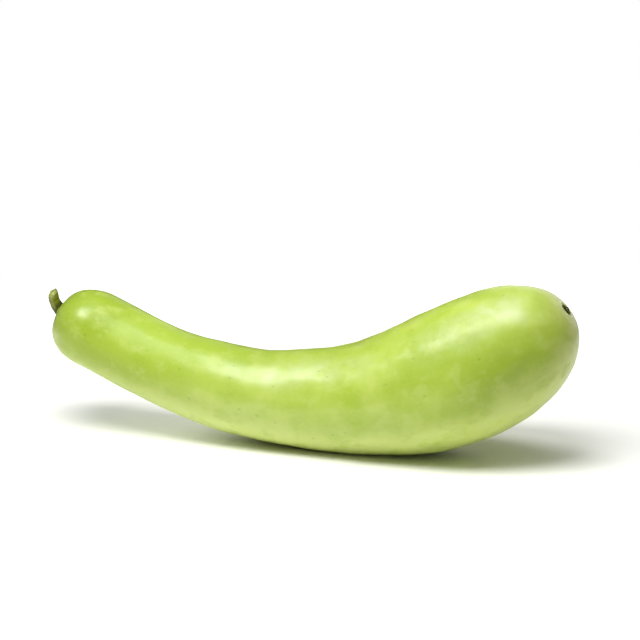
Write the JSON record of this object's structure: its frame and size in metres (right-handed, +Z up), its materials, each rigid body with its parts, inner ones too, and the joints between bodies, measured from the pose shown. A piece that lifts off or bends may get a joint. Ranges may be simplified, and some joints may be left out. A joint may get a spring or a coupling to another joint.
{
  "type": "bottle gourd",
  "caption": "Whole fresh bottle gourd lying down: a long bowed pale green fruit, slim at the stem end and stout at the blossom end, with its cut stem and a dry blossom scar.",
  "frame": {"origin": "bottom centre of the whole object's box, on the surface that the fruit rests on", "axes": "+X along the fruit towards its blossom end, +Z up; both ends of the bowed fruit lift towards +Z"},
  "size_m": [0.3882, 0.0996, 0.1244],
  "materials": {
    "skin": "satin",
    "stem": "matte",
    "scar": "matte"
  },
  "bodies": {
    "root": {"gourd_body": "skin", "stem": "stem", "blossom_scar": "scar"}
  },
  "joints": []
}
